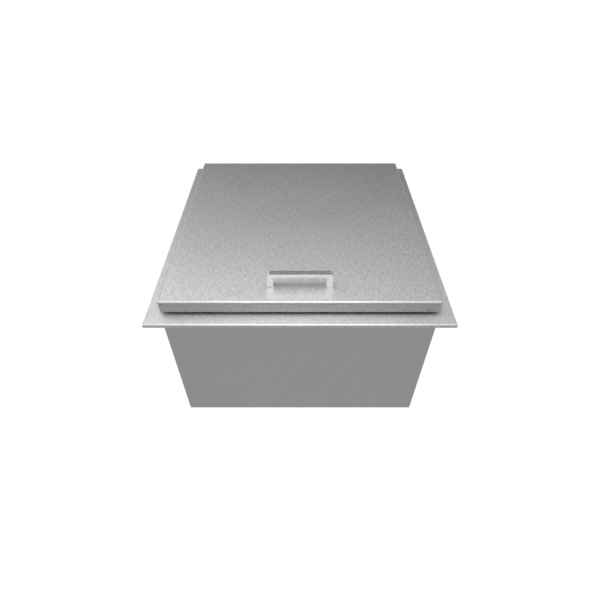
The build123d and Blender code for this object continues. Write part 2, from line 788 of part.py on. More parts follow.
# Rubber stopper: tapered plug, disc that lies on the flange, neck and knob
plug_taper = seat_taper * stopper_plug / seat_depth
disc_top = flange_top + stopper_disc
knob_bottom = disc_top + stopper_neck
with BuildPart() as drain_stopper:
    with BuildSketch(Plane.XZ):
        with BuildLine():
            Polyline(
                (0, flange_top - stopper_plug),
                (seat_radius - plug_taper - stopper_gap, flange_top - stopper_plug),
                (seat_radius - stopper_gap, flange_top),
                (stopper_disc_radius, flange_top),
                (stopper_disc_radius, disc_top),
                (stopper_neck_radius, disc_top),
                (stopper_neck_radius, knob_bottom),
                (stopper_knob_radius, knob_bottom),
                (stopper_knob_radius, knob_bottom + stopper_knob),
                (0, knob_bottom + stopper_knob),
                close=True,
            )
        make_face()
    revolve(axis=Axis.Z)
    circles = drain_stopper.edges().filter_by(GeomType.CIRCLE)
    fillet(circles.group_by(SortBy.RADIUS)[-1].sort_by(Axis.Z)[-1], stopper_disc_edge)
    circles = drain_stopper.edges().filter_by(GeomType.CIRCLE)
    knob_top = circles.group_by(Axis.Z)[-1]
    knob_under = circles.group_by(Axis.Z)[-2].group_by(SortBy.RADIUS)[-1]
    fillet(knob_top + knob_under, stopper_knob_edge)
drain_stopper.part.label = "drain_stopper"
export_step(drain_stopper.part, "parts/drain_stopper.step")
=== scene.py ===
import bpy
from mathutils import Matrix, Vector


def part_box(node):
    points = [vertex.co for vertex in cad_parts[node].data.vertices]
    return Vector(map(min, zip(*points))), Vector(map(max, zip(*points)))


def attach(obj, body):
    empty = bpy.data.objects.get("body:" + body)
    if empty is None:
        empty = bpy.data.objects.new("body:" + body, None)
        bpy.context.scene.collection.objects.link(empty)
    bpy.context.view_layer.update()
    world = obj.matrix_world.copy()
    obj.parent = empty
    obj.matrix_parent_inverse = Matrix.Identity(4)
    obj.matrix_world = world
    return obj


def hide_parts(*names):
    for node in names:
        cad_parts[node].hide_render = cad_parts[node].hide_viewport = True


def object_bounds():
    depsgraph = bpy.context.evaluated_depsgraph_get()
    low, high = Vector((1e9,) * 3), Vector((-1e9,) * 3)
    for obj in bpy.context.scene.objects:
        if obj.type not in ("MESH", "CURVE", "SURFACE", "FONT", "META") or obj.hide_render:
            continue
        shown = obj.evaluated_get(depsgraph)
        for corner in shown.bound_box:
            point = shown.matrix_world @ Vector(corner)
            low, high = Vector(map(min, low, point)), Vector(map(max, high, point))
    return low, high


bl_info = {
    "name": "Drop-in cooler",
    "version": (1, 0, 0),
    "blender": (4, 5, 0),
    "location": "View3D > Sidebar > Cooler",
    "description": "Finishes, seals and studio for an insulated drop-in cooler",
    "category": "Object",
}

import math

import bpy
from bpy.props import FloatProperty, FloatVectorProperty, PointerProperty

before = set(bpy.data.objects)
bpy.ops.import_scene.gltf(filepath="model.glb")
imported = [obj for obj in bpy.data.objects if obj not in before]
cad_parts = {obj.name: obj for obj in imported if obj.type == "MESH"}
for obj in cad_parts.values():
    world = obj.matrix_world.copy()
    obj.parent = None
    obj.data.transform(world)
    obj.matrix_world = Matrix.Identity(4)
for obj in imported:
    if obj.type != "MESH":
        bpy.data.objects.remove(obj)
CAD_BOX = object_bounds()
MM = 0.001

# Places that repeat the drawing's own dimensions
SEAL_WIDTH = 8.0 * MM
LID_SEAL_CORNER = 33.0 * MM
COAMING_CORNER = 36.0 * MM
COUNTER_TAPE_WIDTH = 9.0 * MM
DRAIN_HOLE = 17.1 * MM
STOPPER_PLUG = 10.0 * MM
RIVET_SPACING = 60.0 * MM
RIVET_HEAD = 3.6 * MM

# How far a clamped rubber ring bulges at its edge, as a share of its thickness
BULGE_SHARE = 0.25

# Length of lathe marks for each radian that they turn
TURNED_REACH = 20.0 * MM

# A face counts as flat, or as a side, where this much of its normal lies on that axis
FACING = 0.7

# Light that glances off the tops of the brushed lines, as a thin second gloss
SHEEN_ROUGHNESS = 0.2
SHEEN_IOR = 2.0

# Brushed grain: strength, fineness beside the grain width, length beside width, place, detail
GRAIN_LAYERS = (
    ("Lines", 1.0, 50.0, 0.0, 2.0),
    ("Broad Lines", 0.25, 12.0, 7.3, 1.0),
    ("Speckle", 0.8, 12.0, 3.1, 1.0),
)


def steel_colour(label, tone):
    """A grey steel colour, the same in its three channels, as a setting."""
    return FloatVectorProperty(
        name=label,
        description=f"Colour of the {label.lower()}",
        subtype="COLOR",
        size=3,
        min=0.0,
        max=1.0,
        default=(tone, tone, tone),
    )


def length(label, description, millimetres):
    """A length setting, given in millimetres and kept in metres."""
    return FloatProperty(
        name=label,
        description=description,
        default=millimetres * MM,
        min=0.0,
        unit="LENGTH",
    )


def share(label, description, value):
    """A setting from 0 to 1."""
    return FloatProperty(
        name=label, description=description, default=value, min=0.0, max=1.0, subtype="FACTOR"
    )


class CoolerSteel(bpy.types.PropertyGroup):
    """Colours and grain of the steel sheets and fittings."""

    lid: steel_colour("Lid", 0.70)
    rim: steel_colour("Rim", 0.745)
    box: steel_colour("Box", 0.715)
    tub: steel_colour("Tub", 0.62)
    pull: steel_colour("Handle", 1.0)
    fittings: steel_colour("Hinge and fasteners", 0.62)
    drain: steel_colour("Drain", 0.66)
    # Painted shade: the lid's skirts are coloured darker than its top
    painted_skirt_shade: share("Painted skirt shade", "How bright the lid's skirts are beside its top", 0.84)
    sheet_roughness: share("Sheet roughness", "Roughness of the brushed sheets", 0.6)
    pull_roughness: share("Handle roughness", "Roughness of the bar pull", 0.13)
    fitting_roughness: share("Fitting roughness", "Roughness of hinge and drain", 0.26)
    inside_gloss: share("Inside gloss", "How much smoother the tub and the lid's pan are", 0.08)
    rivet_gloss: share("Rivet gloss", "How much smoother the rivets are than the hinge", 0.06)
    grain_width: length("Grain width", "Width of one brushed line", 0.5)


class CoolerSoft(bpy.types.PropertyGroup):
    """Colours of rubber and foam."""

    rubber: FloatVectorProperty(
        name="Seals", description="Colour of the seals", subtype="COLOR", size=3,
        min=0.0, max=1.0, default=(0.05, 0.05, 0.052),
    )
    stopper: FloatVectorProperty(
        name="Stopper", description="Colour of the drain stopper", subtype="COLOR", size=3,
        min=0.0, max=1.0, default=(0.025, 0.025, 0.026),
    )
    sealant: FloatVectorProperty(
        name="Sealant", description="Colour of the bead round the tub", subtype="COLOR", size=3,
        min=0.0, max=1.0, default=(0.42, 0.43, 0.43),
    )
    tape: FloatVectorProperty(
        name="Tape", description="Colour of the foam tape under the rim", subtype="COLOR",
        size=3, min=0.0, max=1.0, default=(0.035, 0.035, 0.036),
    )
    foam: FloatVectorProperty(
        name="Foam", description="Colour of the insulation", subtype="COLOR", size=3,
        min=0.0, max=1.0, default=(0.78, 0.66, 0.36),
    )


class CoolerStudio(bpy.types.PropertyGroup):
    """Camera, lights and floor."""

    lens: FloatProperty(
        name="Lens", description="Focal length on a 36 mm sensor", default=25.6, min=1.0
    )
    camera_back: length("Camera distance", "From the middle of the rim, forwards", 724.7)
    camera_height: length("Camera height", "Above the counter plane", 514.8)
    camera_tilt: FloatProperty(
        name="Camera tilt", description="Below the horizon", default=math.radians(44.35),
        subtype="ANGLE", unit="ROTATION",
    )
    floor_gap: length("Floor gap", "From the end of the drain tail to the floor", 1.0)
    sky: FloatProperty(
        name="Upper walls", description="Even light from the horizon up", default=0.119, min=0.0
    )
    ground: FloatProperty(
        name="Lower walls", description="Even light from below the horizon", default=0.45, min=0.0
    )
    side_walls: share("Side walls", "How bright the walls at both sides are beside the rest", 0.4)


def edit(piece, mode="VERT"):
    """Opens a piece in edit mode with nothing selected."""
    bpy.ops.object.select_all(action="DESELECT")
    piece.select_set(True)
    bpy.context.view_layer.objects.active = piece
    bpy.ops.object.mode_set(mode="EDIT")
    bpy.ops.mesh.select_mode(type=mode)
    bpy.ops.mesh.select_all(action="DESELECT")


def leave_edit():
    """Back to object mode."""
    bpy.ops.object.mode_set(mode="OBJECT")


def add_piece(name, primitive, sides=(1, 1, 1), **values):
    """A new primitive with its size and place in its mesh, as the start of a piece."""
    bpy.ops.object.select_all(action="DESELECT")
    primitive(**values)
    piece = bpy.context.object
    piece.name = piece.data.name = name
    bpy.ops.transform.resize(value=sides)
    bpy.ops.object.transform_apply(location=True, rotation=True, scale=True)
    return piece


def join(name, pieces):
    """Several objects made one piece."""
    bpy.ops.object.select_all(action="DESELECT")
    for piece in pieces:
        piece.select_set(True)
    bpy.context.view_layer.objects.active = pieces[0]
    if len(pieces) > 1:
        bpy.ops.object.join()
    piece = bpy.context.object
    piece.name = piece.data.name = name
    return piece


def apply_bevel(piece, width, segments=3, angle=30.0):
    """Rounds the sharp edges of a piece."""
    bpy.ops.object.select_all(action="DESELECT")
    piece.select_set(True)
    bpy.context.view_layer.objects.active = piece
    bevel = piece.modifiers.new("Edges", "BEVEL")
    bevel.width = width
    bevel.segments = segments
    bevel.limit_method = "ANGLE"
    bevel.angle_limit = math.radians(angle)
    bpy.ops.object.modifier_apply(modifier=bevel.name)


def close_and_smooth(piece, angle=40.0):
    """Merges doubled points, turns the faces outwards and shades the rounded parts smooth."""
    edit(piece)
    bpy.ops.mesh.select_all(action="SELECT")
    bpy.ops.mesh.remove_doubles(threshold=0.001 * MM)
    bpy.ops.mesh.normals_make_consistent(inside=False)
    leave_edit()
    bpy.ops.object.shade_smooth_by_angle(angle=math.radians(angle))


def finish_piece(piece, body, slot, material, *nodes):
    """Puts a finished piece on its body with its material, and hides the CAD nodes it stands for.
    The slot is not used.
    """
    piece.data.materials.clear()
    piece.data.materials.append(material)
    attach(piece, body)
    if nodes:
        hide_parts(*nodes)
    return piece


def moulded_ring(name, width, depth, corner, level, steps):
    """A closed ring with rounded corners whose profile is made by insets.

    It starts as a sheet of the outer size at the given level. Each step goes inwards and
    up or down by so much, and the last one returns to the level that it started from."""
    ring = add_piece(
        name, bpy.ops.mesh.primitive_plane_add, sides=(width, depth, 1), size=1.0,
        location=(0, 0, level),
    )
    edit(ring)
    bpy.ops.mesh.select_all(action="SELECT")
    bpy.ops.mesh.bevel(offset=corner, segments=12, affect="VERTICES")
    bpy.ops.mesh.select_all(action="SELECT")
    for inwards, upwards in steps:
        if inwards:
            bpy.ops.mesh.inset(thickness=inwards, depth=upwards, use_even_offset=True)
        else:
            bpy.ops.mesh.extrude_region_move(
                TRANSFORM_OT_translate={"value": (0, 0, upwards)}
            )
    bpy.ops.mesh.select_all(action="DESELECT")
    bpy.ops.mesh.select_face_by_sides(number=4, type="GREATER")
    bpy.ops.mesh.delete(type="ONLY_FACE")
    bpy.ops.mesh.select_non_manifold()
    bpy.ops.mesh.bridge_edge_loops()
    leave_edit()
    close_and_smooth(ring)
    return ring


def turned(name, outline, segments=96):
    """A round piece about the drain's axis, spun from its outline of (radius, height)."""
    piece = add_piece(
        name, bpy.ops.mesh.primitive_plane_add, size=MM, location=(outline[0][0], 0, outline[0][1])
    )
    edit(piece)
    bpy.ops.mesh.select_all(action="SELECT")
    bpy.ops.mesh.merge(type="CENTER")
    for (radius, height), (next_radius, next_height) in zip(outline, outline[1:]):
        bpy.ops.mesh.extrude_vertices_move(
            TRANSFORM_OT_translate={"value": (next_radius - radius, 0, next_height - height)}
        )
    bpy.ops.mesh.select_all(action="SELECT")
    bpy.ops.mesh.spin(steps=segments, angle=math.tau, center=(0, 0, 0), axis=(0, 0, 1))
    leave_edit()
    close_and_smooth(piece)
    return piece


def add_node(tree, kind, **values):
    """A node with its properties set by name and its inputs by socket name."""
    node = tree.nodes.new(kind)
    inputs = values.pop("inputs", {})
    for name, value in values.items():
        setattr(node, name, value)
    for name, value in inputs.items():
        node.inputs[name].default_value = value
    return node


def maths(tree, operation, first, second=None, third=None):
    """The output of a Math node; each argument is a socket or a number."""
    node = tree.nodes.new("ShaderNodeMath")
    node.operation = operation
    for index, value in enumerate((first, second, third)):
        if isinstance(value, bpy.types.NodeSocket):
            tree.links.new(value, node.inputs[index])
        elif value is not None:
            node.inputs[index].default_value = value
    return node.outputs[0]


def choose(tree, switch, when_off, when_on):
    """The second value where the switch is 1, and the first where it is 0."""
    node = tree.nodes.new("ShaderNodeMix")
    for index, value in ((0, switch), (2, when_off), (3, when_on)):
        if isinstance(value, bpy.types.NodeSocket):
            tree.links.new(value, node.inputs[index])
        else:
            node.inputs[index].default_value = value
    return node.outputs[0]


def start_group(name, inputs, outputs):
    """A node group with float sockets; gives the tree and its two end nodes."""
    tree = bpy.data.node_groups.new(name, "ShaderNodeTree")
    for socket, value in inputs.items():
        made = tree.interface.new_socket(socket, in_out="INPUT", socket_type="NodeSocketFloat")
        made.default_value = value
    for socket in outputs:
        tree.interface.new_socket(socket, in_out="OUTPUT", socket_type="NodeSocketFloat")
    return tree, tree.nodes.new("NodeGroupInput"), tree.nodes.new("NodeGroupOutput")


def face_normal(tree):
    """The three parts of the surface normal on the piece's own axes, without sign."""
    place = tree.nodes.new("ShaderNodeTexCoord")
    size = add_node(tree, "ShaderNodeVectorMath", operation="ABSOLUTE")
    tree.links.new(place.outputs["Normal"], size.inputs[0])
    parts = tree.nodes.new("ShaderNodeSeparateXYZ")
    tree.links.new(size.outputs[0], parts.inputs[0])
    return parts.outputs


def sheet_directions():
    """Places across and along the brushing, on every face of a folded sheet.

    The brushing runs from front to back, and on over the bends. With Lengthwise it runs from
    left to right, and with Band it goes round the upright walls."""
    tree, start, end = start_group(
        "Sheet Directions", {"Band": 0.0, "Lengthwise": 0.0}, ("Across", "Along", "Wall")
    )
    place = tree.nodes.new("ShaderNodeTexCoord")
    parts = tree.nodes.new("ShaderNodeSeparateXYZ")
    tree.links.new(place.outputs["Object"], parts.inputs[0])
    x, y, z = parts.outputs
    band, lengthwise = start.outputs["Band"], start.outputs["Lengthwise"]
    normal_x, _, normal_z = face_normal(tree)
    flat = maths(tree, "GREATER_THAN", normal_z, FACING)
    side = maths(tree, "GREATER_THAN", normal_x, FACING)
    front_across = choose(tree, band, x, z)
    front_along = choose(tree, band, z, maths(tree, "ADD", x, y))
    side_along = choose(tree, band, y, maths(tree, "ADD", x, y))
    wall_across = choose(tree, side, front_across, z)
    wall_along = choose(tree, side, front_along, side_along)
    flat_across = choose(tree, lengthwise, x, y)
    flat_along = choose(tree, lengthwise, y, x)
    tree.links.new(choose(tree, flat, wall_across, flat_across), end.inputs["Across"])
    tree.links.new(choose(tree, flat, wall_along, flat_along), end.inputs["Along"])
    tree.links.new(maths(tree, "SUBTRACT", 1.0, flat), end.inputs["Wall"])
    return tree


def turned_directions():
    """Places across and along the marks that a lathe leaves, round one axis or a row of them.

    Middle is the first axis of the row, Line its distance to the back, and Pitch the distance
    from one axis to the next."""
    tree, start, end = start_group(
        "Turned Directions", {"Middle": 0.0, "Line": 0.0, "Pitch": 10.0},
        ("Across", "Along", "Wall"),
    )
    place = tree.nodes.new("ShaderNodeTexCoord")
    parts = tree.nodes.new("ShaderNodeSeparateXYZ")
    tree.links.new(place.outputs["Object"], parts.inputs[0])
    x, y, z = parts.outputs
    half = maths(tree, "MULTIPLY", start.outputs["Pitch"], 0.5)
    across_row = maths(tree, "SUBTRACT", x, start.outputs["Middle"])
    x = maths(tree, "WRAP", across_row, half, maths(tree, "MULTIPLY", half, -1.0))
    y = maths(tree, "SUBTRACT", y, start.outputs["Line"])
    flat = maths(tree, "GREATER_THAN", face_normal(tree)[2], FACING)
    squares = maths(tree, "MULTIPLY_ADD", y, y, maths(tree, "MULTIPLY", x, x))
    radius = maths(tree, "SQRT", squares)
    angle = maths(tree, "ARCTAN2", y, x)
    tree.links.new(choose(tree, flat, z, radius), end.inputs["Across"])
    tree.links.new(maths(tree, "MULTIPLY", angle, TURNED_REACH), end.inputs["Along"])
    tree.links.new(maths(tree, "SUBTRACT", 1.0, flat), end.inputs["Wall"])
    return tree


def streaks(tree, across, along, fineness, stretch, offset, detail):
    """Noise drawn out along the brushing, centred on 0."""
    place = tree.nodes.new("ShaderNodeCombineXYZ")
    tree.links.new(maths(tree, "MULTIPLY", across, fineness), place.inputs["X"])
    tree.links.new(
        maths(tree, "DIVIDE", maths(tree, "MULTIPLY", along, fineness), stretch),
        place.inputs["Y"],
    )
    place.inputs["Z"].default_value = offset
    noise = add_node(
        tree, "ShaderNodeTexNoise", inputs={"Scale": 1.0, "Detail": detail, "Roughness": 0.6}
    )
    tree.links.new(place.outputs[0], noise.inputs["Vector"])
    return maths(tree, "SUBTRACT", noise.outputs[0], 0.5)


def brushed_grain():
    """Brushed lines: fine ones, broad soft ones and a speckle."""
    tree, start, end = start_group(
        "Brushed Grain",
        {
            "Across": 0.0,
            "Along": 0.0,
            "Fineness": 1000.0,
            "Lines": 0.3,
            "Broad Lines": 0.1,
            "Speckle": 0.2,
        },
        ("Tone", "Height"),
    )
    across, along = start.outputs["Across"], start.outputs["Along"]
    total = 1.0
    layers = {}
    for name, finer, stretch, offset, detail in GRAIN_LAYERS:
        fineness = maths(tree, "MULTIPLY", start.outputs["Fineness"], finer)
        layers[name] = streaks(tree, across, along, fineness, stretch, offset, detail)
        total = maths(tree, "MULTIPLY_ADD", layers[name], start.outputs[name], total)
    tree.links.new(total, end.inputs["Tone"])
    tree.links.new(maths(tree, "ADD", layers["Lines"], 0.5), end.inputs["Height"])
    return tree


def bend_mask():
    """1 on the bends along a sheet's front and back edges, 0 on the flat faces."""
    tree, start, end = start_group("Bend Mask", {"Reach": 0.985, "Side": 0.3}, ("Mask",))
    x, y, z = face_normal(tree)
    largest = maths(tree, "MAXIMUM", maths(tree, "MAXIMUM", x, y), z)
    turned = maths(tree, "LESS_THAN", largest, start.outputs["Reach"])
    lengthwise = maths(tree, "LESS_THAN", x, start.outputs["Side"])
    tree.links.new(maths(tree, "MULTIPLY", turned, lengthwise), end.inputs["Mask"])
    return tree


def handling_marks():
    """Large faint patches, as handling and cleaning leave on bare steel."""
    tree, start, end = start_group("Handling Marks", {"Size": 0.12}, ("Mask",))
    place = tree.nodes.new("ShaderNodeTexCoord")
    noise = add_node(tree, "ShaderNodeTexNoise", inputs={"Detail": 3.0, "Roughness": 0.5})
    tree.links.new(place.outputs["Object"], noise.inputs["Vector"])
    tree.links.new(maths(tree, "DIVIDE", 1.0, start.outputs["Size"]), noise.inputs["Scale"])
    tree.links.new(noise.outputs[0], end.inputs["Mask"])
    return tree


def settled_dust():
    """A thin uneven layer on what faces up."""
    tree, start, end = start_group("Settled Dust", {"Grain": 0.0006}, ("Mask",))
    place = tree.nodes.new("ShaderNodeTexCoord")
    parts = tree.nodes.new("ShaderNodeSeparateXYZ")
    tree.links.new(place.outputs["Normal"], parts.inputs[0])
    upwards = add_node(tree, "ShaderNodeMapRange", inputs={"From Min": 0.55, "From Max": 1.0})
    tree.links.new(parts.outputs["Z"], upwards.inputs["Value"])
    specks = add_node(tree, "ShaderNodeTexNoise", inputs={"Detail": 4.0, "Roughness": 0.7})
    tree.links.new(place.outputs["Object"], specks.inputs["Vector"])
    tree.links.new(maths(tree, "DIVIDE", 1.0, start.outputs["Grain"]), specks.inputs["Scale"])
    thickest = 0.6
    amount = maths(tree, "MULTIPLY", upwards.outputs[0], specks.outputs[0])
    tree.links.new(maths(tree, "MULTIPLY", amount, thickest), end.inputs["Mask"])
    return tree


GROUP_MAKERS = {
    "Settled Dust": settled_dust,
    "Sheet Directions": sheet_directions,
    "Turned Directions": turned_directions,
    "Brushed Grain": brushed_grain,
    "Bend Mask": bend_mask,
    "Handling Marks": handling_marks,
}


def place_group(tree, name, **inputs):
    """A node that holds one of the shared groups, made on first use."""
    group = bpy.data.node_groups.get(name) or GROUP_MAKERS[name]()
    node = tree.nodes.new("ShaderNodeGroup")
    node.node_tree = group
    for socket, value in inputs.items():
        socket = socket.replace("_", " ")
        if isinstance(value, bpy.types.NodeSocket):
            tree.links.new(value, node.inputs[socket])
        else:
            node.inputs[socket].default_value = value
    return node.outputs


def start_material(name, **settings):
    """A material with one Principled shader, and that shader."""
    material = bpy.data.materials.new(name)
    material.use_nodes = True
    tree = material.node_tree
    shader = tree.nodes["Principled BSDF"]
    for socket, value in settings.items():
        shader.inputs[socket.replace("_", " ")].default_value = value
    return material, tree, shader


def tinted(tree, colour, tone):
    """A colour times a value that changes over the surface."""
    node = add_node(tree, "ShaderNodeVectorMath", operation="SCALE")
    node.inputs[0].default_value = colour
    tree.links.new(tone, node.inputs["Scale"])
    return node.outputs[0]


def raise_surface(tree, shader, height, strength, distance):
    """Gives a shader the small relief of a height that changes over the surface."""
    bump = add_node(
        tree, "ShaderNodeBump", inputs={"Strength": strength, "Distance": distance}
    )
    tree.links.new(height, bump.inputs["Height"])
    tree.links.new(bump.outputs[0], shader.inputs["Normal"])


def brushed_steel(
    name, colour, roughness, lines, broad, speckle, directions="Sheet Directions",
    painted_bend_highlight=0.0, softened=0.0, metal=1.0, wall_tone=1.0, sheen=0.0, **turning
):
    """Brushed or turned steel: lines along the grain, speckle, and faint handling marks.

    The setting for the bends' highlight paints the bends at front and back a brighter
    colour, a painted highlight, and softened makes those bends rougher. Metal is how much of
    the surface is bare metal, wall_tone paints shade, how bright upright faces are beside
    flat ones, and sheen how much light glances off the brushed lines.
    What is left over goes to the group that gives the directions."""
    material, tree, shader = start_material(
        name, Metallic=metal, Roughness=roughness, Coat_Weight=sheen,
        Coat_Roughness=SHEEN_ROUGHNESS, Coat_IOR=SHEEN_IOR,
    )
    width = bpy.context.scene.cooler_steel.grain_width
    across, along, wall = place_group(tree, directions, **turning)
    tone, height = place_group(
        tree, "Brushed Grain", Across=across, Along=along, Fineness=1 / width,
        Lines=lines, Broad_Lines=broad, Speckle=speckle,
    )
    (marks,) = place_group(tree, "Handling Marks")
    # Painted shade: upright faces are coloured darker than flat ones by wall_tone
    tone = maths(tree, "MULTIPLY", tone, maths(tree, "MULTIPLY_ADD", wall, wall_tone - 1.0, 1.0))
    smudge = 0.06
    rough = maths(tree, "MULTIPLY_ADD", marks, smudge, roughness - smudge / 2)
    if painted_bend_highlight or softened:
        (bends,) = place_group(tree, "Bend Mask")
        # Painted highlight: the bends' colour is made brighter where they would catch the light
        tone = maths(tree, "MULTIPLY_ADD", bends, painted_bend_highlight, tone)
        rough = maths(tree, "MULTIPLY_ADD", bends, softened, rough)
        height = maths(tree, "MULTIPLY", height, maths(tree, "SUBTRACT", 1.0, bends))
    tree.links.new(tinted(tree, colour, tone), shader.inputs["Base Color"])
    tree.links.new(rough, shader.inputs["Roughness"])
    raise_surface(tree, shader, height, strength=0.15, distance=0.02 * MM)
    return material


def moulded_rubber(name, colour):
    """Moulded rubber: a fine matt skin, uneven in tone, and paler with dust on what faces up."""
    if name in bpy.data.materials:
        return bpy.data.materials[name]
    material, tree, shader = start_material(name, Roughness=0.55)
    place = tree.nodes.new("ShaderNodeTexCoord")
    pore = 0.25 * MM
    mottle, dusting = 0.5, 0.9
    matt, unevenness, dust_matt = 0.46, 0.16, 0.2
    skin = add_node(tree, "ShaderNodeTexNoise", inputs={"Scale": 1 / pore, "Detail": 3.0})
    tree.links.new(place.outputs["Object"], skin.inputs["Vector"])
    (marks,) = place_group(tree, "Handling Marks", Size=12 * MM)
    (dust,) = place_group(tree, "Settled Dust", Grain=0.6 * MM)
    tone = maths(tree, "MULTIPLY_ADD", marks, mottle, 1.0 - mottle / 2)
    tone = maths(tree, "MULTIPLY_ADD", dust, dusting, tone)
    tree.links.new(tinted(tree, colour, tone), shader.inputs["Base Color"])
    rough = maths(tree, "MULTIPLY_ADD", skin.outputs[0], unevenness, matt)
    rough = maths(tree, "MULTIPLY_ADD", dust, dust_matt, rough)
    tree.links.new(rough, shader.inputs["Roughness"])
    raise_surface(tree, shader, skin.outputs[0], strength=0.35, distance=0.05 * MM)
    return material


def cell_foam(name, colour, cell, depth):
    """Closed-cell foam: small cells with darker walls between them.

    Cell is the width of a cell, and depth how strong its relief is. The wall's width is a
    share of the cell, and lift is how much paler the middle of a cell is than its wall."""
    material, tree, shader = start_material(name, Roughness=0.92)
    place = tree.nodes.new("ShaderNodeTexCoord")
    cells = add_node(
        tree, "ShaderNodeTexVoronoi", feature="DISTANCE_TO_EDGE", inputs={"Scale": 1 / cell}
    )
    tree.links.new(place.outputs["Object"], cells.inputs["Vector"])
    wall_width, wall_tone = 0.25, 0.72
    lift, mottle = 0.22, 0.2
    wall = add_node(tree, "ShaderNodeMapRange", inputs={"From Max": wall_width})
    tree.links.new(cells.outputs["Distance"], wall.inputs["Value"])
    (marks,) = place_group(tree, "Handling Marks", Size=25 * MM)
    tone = maths(tree, "MULTIPLY_ADD", wall.outputs[0], lift, wall_tone)
    tone = maths(tree, "MULTIPLY_ADD", marks, mottle, tone)
    tree.links.new(tinted(tree, colour, tone), shader.inputs["Base Color"])
    raise_surface(tree, shader, wall.outputs[0], strength=depth, distance=0.3 * cell)
    return material


def finish_node(node, material):
    """Gives a CAD node its material."""
    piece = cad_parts[node]
    piece.data.materials.clear()
    piece.data.materials.append(material)


class COOLER_OT_tub_sheets(bpy.types.Operator):
    """Finishes the rim, the box, its base and the tub"""

    bl_idname = "cooler.tub_sheets"
    bl_label = "Rim, box and tub"

    def execute(self, context):
        steel = context.scene.cooler_steel
        rough = steel.sheet_roughness
        # The rim's bends get a painted highlight, a brighter colour
        rim = brushed_steel(
            "Rim steel", steel.rim, rough, lines=0.8, broad=0.08, speckle=0.6, painted_bend_highlight=0.34
        )
        finish_node("rim_frame", rim)
        box = brushed_steel(
            "Box steel", steel.box, rough, lines=0.2, broad=0.05, speckle=0.4, Band=1.0
        )
        finish_node("outer_shell", box)
        finish_node("base_plate", box)
        tub = brushed_steel(
            "Tub steel", steel.tub, rough - steel.inside_gloss, lines=0.3, broad=0.08,
            speckle=0.3, Band=1.0,
        )
        finish_node("inner_liner", tub)
        return {"FINISHED"}


class COOLER_OT_lid_sheets(bpy.types.Operator):
    """Finishes the skin and the pan of the lid"""

    bl_idname = "cooler.lid_sheets"
    bl_label = "Lid"

    def execute(self, context):
        steel = context.scene.cooler_steel
        rough = steel.sheet_roughness
        # The lid's bends get a painted highlight, and its skirts painted shade, darker than its
        # top
        skin = brushed_steel(
            "Lid steel", steel.lid, rough, lines=0.9, broad=0.08, speckle=1.1, painted_bend_highlight=0.6,
            softened=0.12, sheen=0.75, wall_tone=steel.painted_skirt_shade,
        )
        finish_node("lid_outer", skin)
        pan = brushed_steel(
            "Pan steel", steel.tub, rough - steel.inside_gloss, lines=0.3, broad=0.08, speckle=0.3
        )
        finish_node("lid_pan", pan)
        return {"FINISHED"}


class COOLER_OT_fittings(bpy.types.Operator):
    """Finishes the handle, the hinge, the fasteners and the drain"""

    bl_idname = "cooler.fittings"
    bl_label = "Handle, hinge and drain"

    def execute(self, context):
        steel = context.scene.cooler_steel
        rough = steel.fitting_roughness
        # The handle's edges get a painted highlight, and its upright faces painted shade
        pull = brushed_steel(
            "Handle steel", steel.pull, steel.pull_roughness, lines=0.04, broad=0.0,
            speckle=0.04, painted_bend_highlight=0.08, softened=0.4, metal=0.88, wall_tone=0.89,
            Band=1.0, Lengthwise=1.0,
        )
        finish_node("handle", pull)
        hinge = brushed_steel(
            "Hinge steel", steel.fittings, rough, lines=0.25, broad=0.08, speckle=0.2,
            Band=1.0, Lengthwise=1.0,
        )
        for node in ("hinge_leaf_rim", "hinge_leaf_lid", "hinge_pin"):
            finish_node(node, hinge)
        for row in ("hinge_rivets_rim", "hinge_rivets_lid"):
            low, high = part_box(row)
            rivets = brushed_steel(
                f"Rivet steel {row[-3:]}", steel.fittings, rough - steel.rivet_gloss,
                lines=0.25, broad=0.0, speckle=0.1, directions="Turned Directions",
                Middle=high.x - RIVET_HEAD, Line=(low.y + high.y) / 2, Pitch=RIVET_SPACING,
            )
            finish_node(row, rivets)
        screw = brushed_steel(
            "Screw steel", steel.fittings, rough, lines=0.1, broad=0.0, speckle=0.1
        )
        finish_node("handle_screws", screw)
        finish_node("handle_washers", screw)
        drain = brushed_steel(
            "Drain steel", steel.drain, rough, lines=0.35, broad=0.1, speckle=0.1,
            directions="Turned Directions",
        )
        for node in ("drain_body", "drain_strainer", "drain_locknut"):
            finish_node(node, drain)
        return {"FINISHED"}


class COOLER_OT_lid_seal(bpy.types.Operator):
    """Models the hollow bulb seal under the lid, pressed on the raised edge of the tub"""

    bl_idname = "cooler.lid_seal"
    bl_label = "Lid seal"

    def execute(self, context):
        low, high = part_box("lid_gasket")
        foot = 0.9 * MM
        lip = 1.0 * MM
        lip_rise = 0.12 * MM
        fullness = 0.7
        count = 12
        bulb = (SEAL_WIDTH - 2 * lip) / 2
        drop = high.z - low.z - foot
        points = [
            (bulb * (1 - math.cos(turn)), drop * math.sin(turn) ** fullness)
            for turn in (math.pi * step / count for step in range(count + 1))
        ]
        points[0], points[-1] = (0.0, lip_rise), (2 * bulb, lip_rise)
        profile = [(x1 - x0, z0 - z1) for (x0, z0), (x1, z1) in zip(points, points[1:])]
        steps = [(0, -foot), (lip, -lip_rise), *profile, (lip, lip_rise), (0, foot)]
        seal = moulded_ring(
            "lid_seal", high.x - low.x, high.y - low.y, LID_SEAL_CORNER, high.z, steps
        )
        rubber = moulded_rubber("Seal rubber", context.scene.cooler_soft.rubber)
        finish_piece(seal, "lid", "gasket_rubber", rubber, "lid_gasket")
        return {"FINISHED"}


